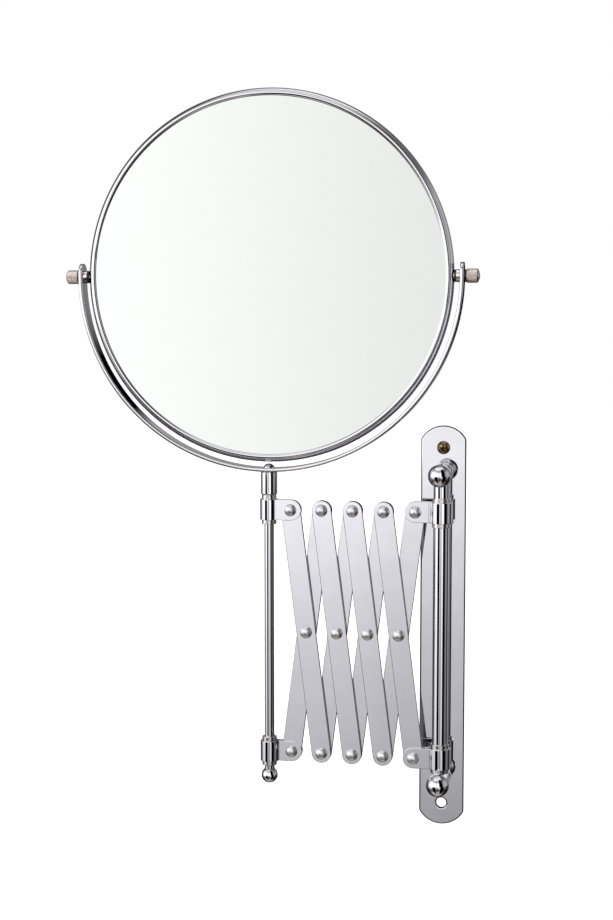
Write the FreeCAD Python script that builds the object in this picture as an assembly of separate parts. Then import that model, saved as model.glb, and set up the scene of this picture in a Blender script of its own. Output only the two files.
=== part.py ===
import FreeCAD, Part
import math
import os

# Extendable shaving mirror on a folding scissor arm, in millimetres.
# Origin: centre of the wall plate's back face.  +Z up, +Y into the wall, so
# everything except the wall screw's shank lies at negative Y.  At rest the arm
# is folded, hangs to the left (-X) and is parallel to the wall.

# --- wall bracket -----------------------------------------------------------
PLATE_WIDTH = 25.6
PLATE_THICKNESS = 2.5
PLATE_OVERHANG = 27.55   # plate beyond the posts, above and below
PLATE_END_BOW = 7.75
PLATE_EDGE_ROUNDING = 1.0
SCREW_HOLE_INSET = 12.5
SCREW_HOLE_RADIUS = 2.8
SCREW_SHANK_RADIUS = 2.1
SCREW_SHANK_LENGTH = 30.0
SCREW_TIP_LENGTH = 4.0
SCREW_TIP_RADIUS = 0.3
SCREW_HEAD_RADIUS = 3.8
SCREW_HEAD_HEIGHT = 2.3
RECESS_LENGTH = 4.4
RECESS_WIDTH = 0.85
RECESS_FLOOR = 1.3       # metal left under the screw's cross recess
POST_CENTRE_HEIGHT = 1.0
POST_RADIUS = 4.2
POST_FOOT_RADIUS = 5.6
POST_FOOT_THICKNESS = 1.2
POST_TAIL_RADIUS = 2.5
BALL_RADIUS = 6.5
BALL_NECK_RADIUS = 2.93
BALL_STUD_RADIUS = 1.9
POST_NOSE = 0.6
WALL_ROD_RADIUS = 4.4
WALL_ROD_SPARE = 9.2     # bare rod above the upper wall clip at rest
ROD_SPIGOT_RADIUS = 1.8
ROD_SPIGOT_DEPTH = 3.0

# --- scissor arm --------------------------------------------------------------
UNITS = 4
LINK_LENGTH = 141.0
LINK_WIDTH = 11.1
LINK_THICKNESS = 2.0
LINK_GAP = 0.8
LINK_EDGE_ROUNDING = 0.3
REST_ANGLE = 7.2
RIVET_RADIUS = 1.5
RIVET_HEAD_RADIUS = 3.5
RIVET_HEAD_HEIGHT = 2.0
RIVET_TAIL_RADIUS = 2.6
RIVET_TAIL_HEIGHT = 0.9
CLIP_HEIGHT = 11.8
CLIP_SHEET = 1.0
CLIP_BEND_RADIUS = 1.6
CLIP_END_MARGIN = 6.0
BUSHING_OVERHANG = 2.4
WALL_BUSHING_WALL = 0.65
HEAD_BUSHING_WALL = 1.4
WALL_CLIP_REACH = 14.7
HEAD_CLIP_REACH = 12.9

# --- head ---------------------------------------------------------------------
HEAD_ROD_RADIUS = 2.75
SLEEVE_RADIUS = 4.7
SLEEVE_LENGTH = 13.0
SLEEVE_CHAMFER = 0.4
FINIAL_RADIUS = 4.7
FINIAL_NECK_RADIUS = 2.9
FINIAL_NECK_LENGTH = 1.4
YOKE_THICKNESS = 2.2
YOKE_WIDTH = 11.0
YOKE_EAR_HEIGHT = 7.6
CAP_NUT_RADIUS = 3.3
CAP_NUT_HEIGHT = 2.4
ROD_TENON_RADIUS = 1.8
TENON_IN_NUT = 1.2

# --- mirror -------------------------------------------------------------------
VIEW_RADIUS = 100.0
RING_DEPTH = 10.4
BEAD_RADIUS = 1.5
BAND_CROWN = 1.7
BAND_GROOVE = 0.5        # flat strip between each bead and the crowned band
RING_WALL = 0.7
PLAIN_GLASS_THICKNESS = 2.0
MAGNIFYING_GLASS_THICKNESS = 1.8
MAGNIFYING_SAG = 3.2
PACKING_WIDTH = 12.0
STUD_RADIUS = 2.0
SPACER_RADIUS = 3.6
WASHER_RADIUS = 3.5
WASHER_THICKNESS = 1.0
INNER_WASHER_RADIUS = 3.5
INNER_WASHER_THICKNESS = 1.0
KNOB_RADIUS = 4.0
KNOB_LENGTH = 7.4
KNOB_DOME = 1.2
KNOB_CHAMFER = 0.4
STUD_ENGAGEMENT = 5.0

# --- clearances -----------------------------------------------------------------
RUNNING = 0.05      # radial play of a shaft in the hole it turns or slides in
SEATED = 0.02       # radial play of a piece fixed inside another
FACE_GAP = 0.1      # play between flat faces that turn on each other
STACK_GAP = 0.3     # play along the rods between stacked collars
FOLD_ROOM = 1.0     # room left under the lower head clip for the last of the fold
GLASS_PLAY = 0.3    # radial play of the glass in its ring
PLATE_GAP = 4.0     # between the wall clips' straps and the plate
RING_GAP = 0.9      # between the ring and the cap nut inside the yoke

# --- how the shapes are made ------------------------------------------------------
CUT_SPARE = 1.0     # how far a cutting shape stands past what it cuts
FLAT = 0.01         # an edge that spans less than this along an axis lies across it
FILLET_LIMIT = 0.4  # largest share of a wall's thickness that a rounding may take

# --- places worked out from the sizes above ------------------------------------
WALL_BUSHING_RADIUS = WALL_ROD_RADIUS + RUNNING + WALL_BUSHING_WALL
HEAD_BUSHING_RADIUS = HEAD_ROD_RADIUS + RUNNING + HEAD_BUSHING_WALL
ROD_Y = -(PLATE_THICKNESS + PLATE_GAP + CLIP_SHEET + SEATED + WALL_BUSHING_RADIUS)
POST_FRONT_Y = ROD_Y - WALL_ROD_RADIUS - POST_NOSE
BALL_Y = POST_FRONT_Y - math.sqrt(BALL_RADIUS**2 - BALL_NECK_RADIUS**2)
BALL_STUD_END_Y = ROD_Y - ROD_SPIGOT_RADIUS - 2 * STACK_GAP
BUSHING_HALF = CLIP_HEIGHT / 2 + BUSHING_OVERHANG
PITCH = LINK_LENGTH * math.sin(math.radians(REST_ANGLE))
PIVOT_SPAN = LINK_LENGTH * math.cos(math.radians(REST_ANGLE))
POST_TO_PIVOT = STACK_GAP + max(POST_RADIUS + BUSHING_HALF, BALL_RADIUS + CLIP_HEIGHT / 2)
POST_SPACING = POST_TO_PIVOT + PIVOT_SPAN + BUSHING_HALF + WALL_ROD_SPARE + POST_RADIUS
UPPER_POST_Z = POST_CENTRE_HEIGHT + POST_SPACING / 2
LOWER_POST_Z = POST_CENTRE_HEIGHT - POST_SPACING / 2
PLATE_HEIGHT = POST_SPACING + 2 * PLATE_OVERHANG
LOWER_PIVOT_Z = LOWER_POST_Z + POST_TO_PIVOT
UPPER_PIVOT_Z = LOWER_PIVOT_Z + PIVOT_SPAN
WALL_PIVOT_X = -WALL_CLIP_REACH
HEAD_PIVOT_X = WALL_PIVOT_X - UNITS * PITCH
HEAD_X = HEAD_PIVOT_X - HEAD_CLIP_REACH
SLEEVE_BOTTOM_Z = UPPER_PIVOT_Z + BUSHING_HALF + STACK_GAP
YOKE_BOTTOM_Z = SLEEVE_BOTTOM_Z + SLEEVE_LENGTH
RING_RADIUS = VIEW_RADIUS + 2 * BEAD_RADIUS + BAND_CROWN
YOKE_RADIUS = RING_RADIUS + RING_GAP + CAP_NUT_HEIGHT + YOKE_THICKNESS
MIRROR_Z = YOKE_BOTTOM_Z + YOKE_RADIUS
FINIAL_TOP_Z = LOWER_PIVOT_Z - BUSHING_HALF - FOLD_ROOM
FINIAL_Z = FINIAL_TOP_Z - FINIAL_NECK_LENGTH - math.sqrt(FINIAL_RADIUS**2 - FINIAL_NECK_RADIUS**2)
FRONT_FACE_Y = ROD_Y - LINK_GAP / 2 - LINK_THICKNESS
REAR_FACE_Y = ROD_Y + LINK_GAP / 2 + LINK_THICKNESS
GLASS_FACE = RING_DEPTH / 2 - BEAD_RADIUS

X = FreeCAD.Vector(1, 0, 0)
Y = FreeCAD.Vector(0, 1, 0)
Z = FreeCAD.Vector(0, 0, 1)


def point(x, y, z):
    return FreeCAD.Vector(x, y, z)


def save(name, shape):
    """Write one node's solid, or group of solids, as a STEP file."""
    shape.exportStep("parts/" + name + ".step")


def bar(start, end, radius):
    """Round bar from one point to another."""
    run = end - start
    return Part.makeCylinder(radius, run.Length, start, run)


def turned(outline, base, axis, across):
    """Solid of revolution.  The outline lists (distance along the axis, radius) pairs."""
    corners = [base + axis * along + across * radius for along, radius in outline]
    corners.append(corners[0])
    return Part.Face(Part.makePolygon(corners)).revolve(base, axis, 360)


def dome(base, axis, radius, height):
    """Spherical cap standing on a flat circle of the given radius."""
    ball = (radius**2 + height**2) / (2 * height)
    sphere = Part.makeSphere(ball, base + axis * (height - ball))
    return sphere.common(Part.makeCylinder(ball + CUT_SPARE, height + CUT_SPARE, base, axis))


# --- wall bracket -----------------------------------------------------------

def wall_plate():
    """Flat strip with bowed ends, two screw holes and two holes for the posts' tails."""
    half = PLATE_WIDTH / 2
    top = PLATE_HEIGHT / 2
    shoulder = top - PLATE_END_BOW
    left_low, left_high = point(-half, 0, -shoulder), point(-half, 0, shoulder)
    right_low, right_high = point(half, 0, -shoulder), point(half, 0, shoulder)
    outline = Part.Wire([
        Part.makeLine(left_low, left_high),
        Part.Arc(left_high, point(0, 0, top), right_high).toShape(),
        Part.makeLine(right_high, right_low),
        Part.Arc(right_low, point(0, 0, -top), left_low).toShape(),
    ])
    plate = Part.Face(outline).extrude(Y * -PLATE_THICKNESS)
    rim = [e for e in plate.Edges if abs(e.BoundBox.YMax + PLATE_THICKNESS) < FLAT]
    plate = plate.makeFillet(min(PLATE_EDGE_ROUNDING, PLATE_THICKNESS * FILLET_LIMIT), rim)
    screw_z = top - SCREW_HOLE_INSET
    tail_hole = POST_TAIL_RADIUS + SEATED
    for height, radius in (
        (screw_z, SCREW_HOLE_RADIUS), (-screw_z, SCREW_HOLE_RADIUS),
        (UPPER_POST_Z, tail_hole), (LOWER_POST_Z, tail_hole),
    ):
        back = point(0, CUT_SPARE, height)
        front = point(0, -PLATE_THICKNESS - CUT_SPARE, height)
        plate = plate.cut(bar(back, front, radius))
    return plate


def wall_screw():
    """Pan head wood screw through the upper hole, with a cross recess in its head."""
    height = PLATE_HEIGHT / 2 - SCREW_HOLE_INSET
    face = point(0, -PLATE_THICKNESS, height)
    head = dome(face, Y * -1, SCREW_HEAD_RADIUS, SCREW_HEAD_HEIGHT)
    tip_start = face + Y * (SCREW_SHANK_LENGTH - SCREW_TIP_LENGTH)
    shank = bar(face, tip_start, SCREW_SHANK_RADIUS)
    tip = Part.makeCone(SCREW_SHANK_RADIUS, SCREW_TIP_RADIUS, SCREW_TIP_LENGTH, tip_start, Y)
    screw = head.fuse([shank, tip]).removeSplitter()
    depth = SCREW_HEAD_HEIGHT - RECESS_FLOOR + CUT_SPARE
    for size_x, size_z in ((RECESS_LENGTH, RECESS_WIDTH), (RECESS_WIDTH, RECESS_LENGTH)):
        corner = face + point(-size_x / 2, -RECESS_FLOOR - depth, -size_z / 2)
        screw = screw.cut(Part.makeBox(size_x, depth, size_z, corner))
    return screw


def stand_off(height, towards_rod):
    """Turned post: riveted tail in the plate, foot flange, round body and a spigot hole for the rod."""
    front = POST_FRONT_Y
    body = turned([
        (0, 0), (0, POST_TAIL_RADIUS), (PLATE_THICKNESS, POST_TAIL_RADIUS),
        (PLATE_THICKNESS, POST_FOOT_RADIUS), (PLATE_THICKNESS + POST_FOOT_THICKNESS, POST_FOOT_RADIUS),
        (PLATE_THICKNESS + POST_FOOT_THICKNESS, POST_RADIUS), (-front, POST_RADIUS), (-front, 0),
    ], point(0, 0, height), Y * -1, Z)
    hole_end = point(0, BALL_STUD_END_Y + STACK_GAP / 2, height)
    hole = bar(point(0, front - CUT_SPARE, height), hole_end, BALL_STUD_RADIUS + SEATED)
    centre = point(0, ROD_Y, height)
    rim = centre + Z * (towards_rod * (POST_RADIUS + CUT_SPARE))
    bottom = centre + Z * (towards_rod * (POST_RADIUS - ROD_SPIGOT_DEPTH - STACK_GAP))
    return body.cut(hole).cut(bar(bottom, rim, ROD_SPIGOT_RADIUS + SEATED))


def ball_head(height):
    """Polished ball with a short stud behind it that screws into the post."""
    ball = Part.makeSphere(BALL_RADIUS, point(0, BALL_Y, height))
    ball = ball.cut(bar(point(0, POST_FRONT_Y, height), point(0, 0, height), BALL_RADIUS))
    return ball.fuse(bar(point(0, BALL_Y, height), point(0, BALL_STUD_END_Y, height), BALL_STUD_RADIUS))


def wall_rod():
    """Vertical rod between the posts, with a thin spigot at each end."""
    low = LOWER_POST_Z + POST_RADIUS
    high = UPPER_POST_Z - POST_RADIUS
    spigot = ROD_SPIGOT_DEPTH
    return turned([
        (-spigot, 0), (-spigot, ROD_SPIGOT_RADIUS), (0, ROD_SPIGOT_RADIUS), (0, WALL_ROD_RADIUS),
        (high - low, WALL_ROD_RADIUS), (high - low, ROD_SPIGOT_RADIUS),
        (high - low + spigot, ROD_SPIGOT_RADIUS), (high - low + spigot, 0),
    ], point(0, ROD_Y, low), Z, X)


# --- scissor arm --------------------------------------------------------------

def link(low_x, high_x, front_y):
    """Flat bar with round ends and three rivet holes, standing between its two end pivots."""
    low = point(low_x, front_y, LOWER_PIVOT_Z)
    high = point(high_x, front_y, UPPER_PIVOT_Z)
    along = (high - low).normalize()
    side = along.cross(Y) * (LINK_WIDTH / 2)
    tip = along * (LINK_WIDTH / 2)
    outline = Part.Wire([
        Part.makeLine(low - side, high - side),
        Part.Arc(high - side, high + tip, high + side).toShape(),
        Part.makeLine(high + side, low + side),
        Part.Arc(low + side, low - tip, low - side).toShape(),
    ])
    flat = Part.Face(outline).extrude(Y * LINK_THICKNESS)
    rims = [e for e in flat.Edges if e.BoundBox.YLength < FLAT]
    flat = flat.makeFillet(min(LINK_EDGE_ROUNDING, LINK_THICKNESS * FILLET_LIMIT), rims)
    for pivot in (low, (low + high) * 0.5, high):
        front, back = pivot - Y * CUT_SPARE, pivot + Y * (LINK_THICKNESS + CUT_SPARE)
        flat = flat.cut(bar(front, back, RIVET_RADIUS + RUNNING))
    return flat


def rivet(pivot_x, pivot_z, front_y, rear_y):
    """Domed rivet with its shank through everything between two faces, peened over behind."""
    front = point(pivot_x, front_y - FACE_GAP, pivot_z)
    rear = point(pivot_x, rear_y + FACE_GAP, pivot_z)
    head = dome(front, Y * -1, RIVET_HEAD_RADIUS, RIVET_HEAD_HEIGHT)
    tail = dome(rear, Y, RIVET_TAIL_RADIUS, RIVET_TAIL_HEIGHT)
    return bar(front, rear, RIVET_RADIUS).fuse([head, tail]).removeSplitter()


def strap_contour(tabs, reach, radius, offset, bend):
    """One side of the bent strap: out along the rear tab, round the bushing, back along the front tab."""
    front_y, rear_y = tabs[0] - offset, tabs[1] + offset
    ends = []
    for level in (rear_y, front_y):
        centre_y = level + math.copysign(bend, level)
        centre_x = math.sqrt((radius + bend)**2 - centre_y**2)
        centre = point(centre_x, centre_y, 0)
        on_round = centre * (radius / (radius + bend))
        towards = point(centre_x, level, 0) - centre
        middle = centre + ((on_round - centre).normalize() + towards.normalize()).normalize() * bend
        ends.append((point(reach, level, 0), point(centre_x, level, 0), middle, on_round))
    rear, front = ends
    return [
        Part.makeLine(rear[0], rear[1]),
        Part.Arc(rear[1], rear[2], rear[3]).toShape(),
        Part.Arc(rear[3], point(-radius, 0, 0), front[3]).toShape(),
        Part.Arc(front[3], front[2], front[1]).toShape(),
        Part.makeLine(front[1], front[0]),
    ]


def clip_strap(rod_x, pivot_x, pivot_z, bushing_radius, layer):
    """Sheet strap bent round its bushing, its two round-ended tabs on either side of one link."""
    inner_front, inner_rear = tab_faces(layer)
    middle = (inner_front - CLIP_SHEET / 2 - ROD_Y, inner_rear + CLIP_SHEET / 2 - ROD_Y)
    reach = abs(pivot_x - rod_x) + CLIP_END_MARGIN
    radius = bushing_radius + SEATED + CLIP_SHEET / 2
    half = CLIP_SHEET / 2
    outer = strap_contour(middle, reach, radius + half, half, CLIP_BEND_RADIUS - half)
    inner = strap_contour(middle, reach, radius - half, -half, CLIP_BEND_RADIUS + half)
    ends = [
        Part.makeLine(outer[-1].Vertexes[1].Point, inner[-1].Vertexes[1].Point),
        Part.makeLine(inner[0].Vertexes[0].Point, outer[0].Vertexes[0].Point),
    ]
    section = Part.Face(Part.Wire(Part.__sortEdges__(outer + inner + ends)))
    strap = section.extrude(Z * CLIP_HEIGHT)
    strap.translate(Z * (-CLIP_HEIGHT / 2))
    back = radius + half + CUT_SPARE
    depth = 2 * back
    corner = point(-back, -back, -CLIP_HEIGHT / 2)
    end_radius = min(CLIP_END_MARGIN, CLIP_HEIGHT / 2)
    blank = Part.makeBox(reach - end_radius + back, depth, CLIP_HEIGHT, corner)
    centre = point(reach - end_radius, -back, 0)
    blank = blank.fuse(Part.makeCylinder(end_radius, depth, centre, Y))
    strap = strap.common(blank)
    if pivot_x < rod_x:
        strap = strap.mirror(point(0, 0, 0), X)
    strap.translate(point(rod_x, ROD_Y, pivot_z))
    pivot = point(pivot_x, ROD_Y, pivot_z)
    return strap.cut(bar(pivot - Y * back, pivot + Y * back, RIVET_RADIUS + RUNNING))


def tab_faces(layer):
    """Inner faces of a clip's tabs, either side of the front or the rear layer of links."""
    if layer == "front":
        return FRONT_FACE_Y - FACE_GAP, FRONT_FACE_Y + LINK_THICKNESS + FACE_GAP
    return REAR_FACE_Y - LINK_THICKNESS - FACE_GAP, REAR_FACE_Y + FACE_GAP


def bushing(rod_x, pivot_z, outer_radius, rod_radius):
    """Plain tube that slides on a rod inside its strap."""
    low = point(rod_x, ROD_Y, pivot_z - BUSHING_HALF)
    high = point(rod_x, ROD_Y, pivot_z + BUSHING_HALF)
    return bar(low, high, outer_radius).cut(bar(low - Z, high + Z, rod_radius + RUNNING))


def save_clip(name, rod_x, pivot_x, pivot_z, bushing_radius, rod_radius, layer):
    """A clip is three pieces: the strap, the bushing it is bent round and the rivet through its tabs."""
    inner_front, inner_rear = tab_faces(layer)
    save(name + "_strap", clip_strap(rod_x, pivot_x, pivot_z, bushing_radius, layer))
    save(name + "_bushing", bushing(rod_x, pivot_z, bushing_radius, rod_radius))
    front_y = inner_front - CLIP_SHEET
    rear_y = inner_rear + CLIP_SHEET
    save(name + "_rivet", rivet(pivot_x, pivot_z, front_y, rear_y))


# --- head ---------------------------------------------------------------------

def head_rod():
    """Thin rod from the finial up through both head clips and the sleeve to the yoke."""
    low = FINIAL_TOP_Z
    shoulder = YOKE_BOTTOM_Z - low
    top = shoulder + YOKE_THICKNESS + TENON_IN_NUT
    tenon = FINIAL_NECK_LENGTH + FINIAL_RADIUS
    return turned([
        (-tenon, 0), (-tenon, ROD_TENON_RADIUS), (0, ROD_TENON_RADIUS), (0, HEAD_ROD_RADIUS),
        (shoulder, HEAD_ROD_RADIUS), (shoulder, ROD_TENON_RADIUS), (top, ROD_TENON_RADIUS), (top, 0),
    ], point(HEAD_X, ROD_Y, low), Z, X)


def head_sleeve():
    """Turned collar fixed on the rod under the yoke; it rests on the upper head clip."""
    low = point(HEAD_X, ROD_Y, SLEEVE_BOTTOM_Z)
    sleeve = bar(low, low + Z * SLEEVE_LENGTH, SLEEVE_RADIUS)
    rims = [e for e in sleeve.Edges if e.BoundBox.ZLength < FLAT]
    sleeve = sleeve.makeChamfer(SLEEVE_CHAMFER, rims)
    bore_low, bore_high = low - Z * CUT_SPARE, low + Z * (SLEEVE_LENGTH + CUT_SPARE)
    return sleeve.cut(bar(bore_low, bore_high, HEAD_ROD_RADIUS + SEATED))


def finial():
    """Small ball with a neck, screwed on the rod's lower end."""
    centre = point(HEAD_X, ROD_Y, FINIAL_Z)
    top = point(HEAD_X, ROD_Y, FINIAL_TOP_Z)
    ball = Part.makeSphere(FINIAL_RADIUS, centre)
    body = ball.fuse(bar(centre, top, FINIAL_NECK_RADIUS)).removeSplitter()
    tenon = FINIAL_NECK_LENGTH + FINIAL_RADIUS
    return body.cut(bar(top + Z * CUT_SPARE, top - Z * (tenon + STACK_GAP), ROD_TENON_RADIUS + SEATED))


def yoke_blank():
    """Half ring of strip with straight ears above the pivot line, before its holes."""
    outer = YOKE_RADIUS
    inner = YOKE_RADIUS - YOKE_THICKNESS
    ear = YOKE_EAR_HEIGHT
    front = ROD_Y - YOKE_WIDTH / 2
    base = point(HEAD_X, front, MIRROR_Z)
    outline = Part.Wire([
        Part.makeLine(base + point(-outer, 0, ear), base + point(-outer, 0, 0)),
        Part.Arc(base + X * -outer, base + Z * -outer, base + X * outer).toShape(),
        Part.makeLine(base + X * outer, base + point(outer, 0, ear)),
        Part.makeLine(base + point(outer, 0, ear), base + point(inner, 0, ear)),
        Part.makeLine(base + point(inner, 0, ear), base + X * inner),
        Part.Arc(base + X * inner, base + Z * -inner, base + X * -inner).toShape(),
        Part.makeLine(base + X * -inner, base + point(-inner, 0, ear)),
        Part.makeLine(base + point(-inner, 0, ear), base + point(-outer, 0, ear)),
    ])
    strip = Part.Face(outline).extrude(Y * YOKE_WIDTH)
    half_width = YOKE_WIDTH / 2
    round_z = MIRROR_Z + ear - half_width
    side = outer + CUT_SPARE
    keep = Part.makeCylinder(half_width, 2 * side, point(HEAD_X - side, ROD_Y, round_z), X)
    corner = point(HEAD_X - side, front, MIRROR_Z - side)
    keep = keep.fuse(Part.makeBox(2 * side, YOKE_WIDTH, round_z - MIRROR_Z + side, corner))
    return strip.common(keep)


def yoke():
    """The yoke with its two pivot holes and the hole for the rod's tenon."""
    side = X * (YOKE_RADIUS + CUT_SPARE)
    shape = yoke_blank().cut(bar(mirror_centre() - side, mirror_centre() + side, STUD_RADIUS + RUNNING))
    low = point(HEAD_X, ROD_Y, YOKE_BOTTOM_Z - CUT_SPARE)
    high = point(HEAD_X, ROD_Y, YOKE_BOTTOM_Z + YOKE_THICKNESS + CUT_SPARE)
    return shape.cut(bar(low, high, ROD_TENON_RADIUS + SEATED))


def cap_nut():
    """Low domed nut inside the yoke that holds the yoke on the rod."""
    seat = point(HEAD_X, ROD_Y, YOKE_BOTTOM_Z + YOKE_THICKNESS)
    nut = dome(seat, Z, CAP_NUT_RADIUS, CAP_NUT_HEIGHT)
    hole_top = seat + Z * (TENON_IN_NUT + FACE_GAP)
    hole = bar(seat - Z * CUT_SPARE, hole_top, ROD_TENON_RADIUS + SEATED)
    return nut.cut(hole).cut(yoke_blank())


# --- mirror -------------------------------------------------------------------

def mirror_centre():
    """Middle of the ring, on the line of both pivots."""
    return point(HEAD_X, ROD_Y, MIRROR_Z)


def mirror_ring():
    """Channel ring rolled round both glasses: a bead on each face and a crowned band between them."""
    bead = VIEW_RADIUS + BEAD_RADIUS
    band = VIEW_RADIUS + 2 * BEAD_RADIUS
    pocket = band - RING_WALL
    groove = GLASS_FACE - BAND_GROOVE
    edge = RING_DEPTH / 2
    centre = mirror_centre()

    def at(radius, depth):
        return centre + X * radius + Y * depth

    outline = Part.Wire([
        Part.Arc(at(VIEW_RADIUS, -GLASS_FACE), at(bead, -edge), at(band, -GLASS_FACE)).toShape(),
        Part.makeLine(at(band, -GLASS_FACE), at(band, -groove)),
        Part.Arc(at(band, -groove), at(RING_RADIUS, 0), at(band, groove)).toShape(),
        Part.makeLine(at(band, groove), at(band, GLASS_FACE)),
        Part.Arc(at(band, GLASS_FACE), at(bead, edge), at(VIEW_RADIUS, GLASS_FACE)).toShape(),
        Part.makeLine(at(VIEW_RADIUS, GLASS_FACE), at(pocket, GLASS_FACE)),
        Part.makeLine(at(pocket, GLASS_FACE), at(pocket, -GLASS_FACE)),
        Part.makeLine(at(pocket, -GLASS_FACE), at(VIEW_RADIUS, -GLASS_FACE)),
    ])
    ring = Part.Face(outline).revolve(centre, Y, 360)
    side = X * (RING_RADIUS + CUT_SPARE)
    return ring.cut(bar(centre - side, centre + side, STUD_RADIUS))


def glass_radius():
    return VIEW_RADIUS + 2 * BEAD_RADIUS - RING_WALL - GLASS_PLAY


def plain_glass():
    """Flat glass behind the front bead."""
    face = mirror_centre() - Y * GLASS_FACE
    return Part.makeCylinder(glass_radius(), PLAIN_GLASS_THICKNESS, face, Y)


def magnifying_glass():
    """Dished glass behind the rear bead, hollow side outwards."""
    edge = glass_radius()
    ball = (edge**2 + MAGNIFYING_SAG**2) / (2 * MAGNIFYING_SAG)
    centre = mirror_centre() + Y * (GLASS_FACE - MAGNIFYING_SAG + ball)
    blank = Part.makeCylinder(edge, RING_DEPTH, mirror_centre() + Y * (GLASS_FACE - RING_DEPTH), Y)
    outer = Part.makeSphere(ball + MAGNIFYING_GLASS_THICKNESS, centre)
    inner = Part.makeSphere(ball, centre)
    return blank.common(outer).cut(inner)


def packing_ring():
    """Soft ring that keeps the two glasses apart near their edge."""
    edge = glass_radius()
    front = mirror_centre() + Y * (PLAIN_GLASS_THICKNESS - GLASS_FACE)
    depth = 2 * GLASS_FACE - PLAIN_GLASS_THICKNESS
    packing = Part.makeCylinder(edge, depth, front, Y)
    packing = packing.cut(Part.makeCylinder(edge - PACKING_WIDTH, depth, front, Y))
    ball = (edge**2 + MAGNIFYING_SAG**2) / (2 * MAGNIFYING_SAG)
    centre = mirror_centre() + Y * (GLASS_FACE - MAGNIFYING_SAG + ball)
    return packing.cut(Part.makeSphere(ball + MAGNIFYING_GLASS_THICKNESS, centre))


def save_pivot(side, out):
    """One side's pivot, from the ring outwards: stud, black washer, spacer, black washer, thumb nut."""
    axis = X * out
    wall = mirror_centre() + axis * (VIEW_RADIUS + 2 * BEAD_RADIUS - RING_WALL)
    crown = mirror_centre() + axis * RING_RADIUS
    yoke_inside = mirror_centre() + axis * (YOKE_RADIUS - YOKE_THICKNESS)
    yoke_outside = mirror_centre() + axis * YOKE_RADIUS
    washer = yoke_outside + axis * FACE_GAP
    knob = washer + axis * (WASHER_THICKNESS + FACE_GAP)
    bore = STUD_RADIUS + RUNNING

    stud_end = knob + axis * STUD_ENGAGEMENT
    save("pivot_stud_" + side, bar(wall, stud_end, STUD_RADIUS))

    inner_low = crown + axis * RUNNING
    inner_high = inner_low + axis * INNER_WASHER_THICKNESS
    disc = bar(inner_low, inner_high, INNER_WASHER_RADIUS)
    save("pivot_inner_washer_" + side, disc.cut(bar(wall, stud_end, bore)))

    spacer = bar(inner_high + axis * RUNNING, yoke_inside - axis * FACE_GAP, SPACER_RADIUS)
    save("pivot_spacer_" + side, spacer.cut(bar(wall, stud_end, bore)))

    disc = bar(washer, washer + axis * WASHER_THICKNESS, WASHER_RADIUS)
    save("pivot_washer_" + side, disc.cut(bar(wall, stud_end, bore)))

    straight = KNOB_LENGTH - KNOB_DOME
    body = turned([
        (0, 0), (0, KNOB_RADIUS - KNOB_CHAMFER), (KNOB_CHAMFER, KNOB_RADIUS),
        (straight - KNOB_CHAMFER, KNOB_RADIUS), (straight, KNOB_RADIUS - KNOB_CHAMFER), (straight, 0),
    ], knob, axis, Z)
    end = dome(knob + axis * straight, axis, KNOB_RADIUS - KNOB_CHAMFER, KNOB_DOME)
    body = body.fuse(end).removeSplitter()
    save("knob_" + side, body.cut(bar(wall, stud_end + axis * STACK_GAP, bore)))


# --- build ----------------------------------------------------------------------

os.makedirs("parts", exist_ok=True)

save("wall_plate", wall_plate())
save("wall_screw", wall_screw())
save("upper_stand_off", stand_off(UPPER_POST_Z, -1))
save("lower_stand_off", stand_off(LOWER_POST_Z, 1))
save("upper_ball_head", ball_head(UPPER_POST_Z))
save("lower_ball_head", ball_head(LOWER_POST_Z))
save("wall_rod", wall_rod())

for unit in range(1, UNITS + 1):
    near_x = WALL_PIVOT_X - (unit - 1) * PITCH
    far_x = WALL_PIVOT_X - unit * PITCH
    middle_x = (near_x + far_x) / 2
    middle_z = (LOWER_PIVOT_Z + UPPER_PIVOT_Z) / 2
    save("front_link_%d" % unit, link(near_x, far_x, FRONT_FACE_Y))
    save("rear_link_%d" % unit, link(far_x, near_x, REAR_FACE_Y - LINK_THICKNESS))
    rivets = [rivet(middle_x, middle_z, FRONT_FACE_Y, REAR_FACE_Y)]
    if unit < UNITS:
        rivets.append(rivet(far_x, UPPER_PIVOT_Z, FRONT_FACE_Y, REAR_FACE_Y))
    if unit > 1:
        rivets.append(rivet(near_x, LOWER_PIVOT_Z, FRONT_FACE_Y, REAR_FACE_Y))
    save("link_rivets_%d" % unit, Part.makeCompound(rivets))

for end, rod_x, pivot_x, collar, rod_radius in (
    ("wall", 0, WALL_PIVOT_X, WALL_BUSHING_RADIUS, WALL_ROD_RADIUS),
    ("head", HEAD_X, HEAD_PIVOT_X, HEAD_BUSHING_RADIUS, HEAD_ROD_RADIUS),
):
    lower_layer = "front" if end == "wall" else "rear"
    upper_layer = "rear" if end == "wall" else "front"
    save_clip("lower_%s_clip" % end, rod_x, pivot_x, LOWER_PIVOT_Z, collar, rod_radius, lower_layer)
    save_clip("upper_%s_clip" % end, rod_x, pivot_x, UPPER_PIVOT_Z, collar, rod_radius, upper_layer)

save("head_rod", head_rod())
save("head_sleeve", head_sleeve())
save("finial", finial())
save("yoke", yoke())
save("cap_nut", cap_nut())

save("mirror_ring", mirror_ring())
save("plain_glass", plain_glass())
save("magnifying_glass", magnifying_glass())
save("packing_ring", packing_ring())
save_pivot("left", -1)
save_pivot("right", 1)
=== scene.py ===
import bmesh
import bpy
import math
from mathutils import Matrix, Vector


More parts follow.
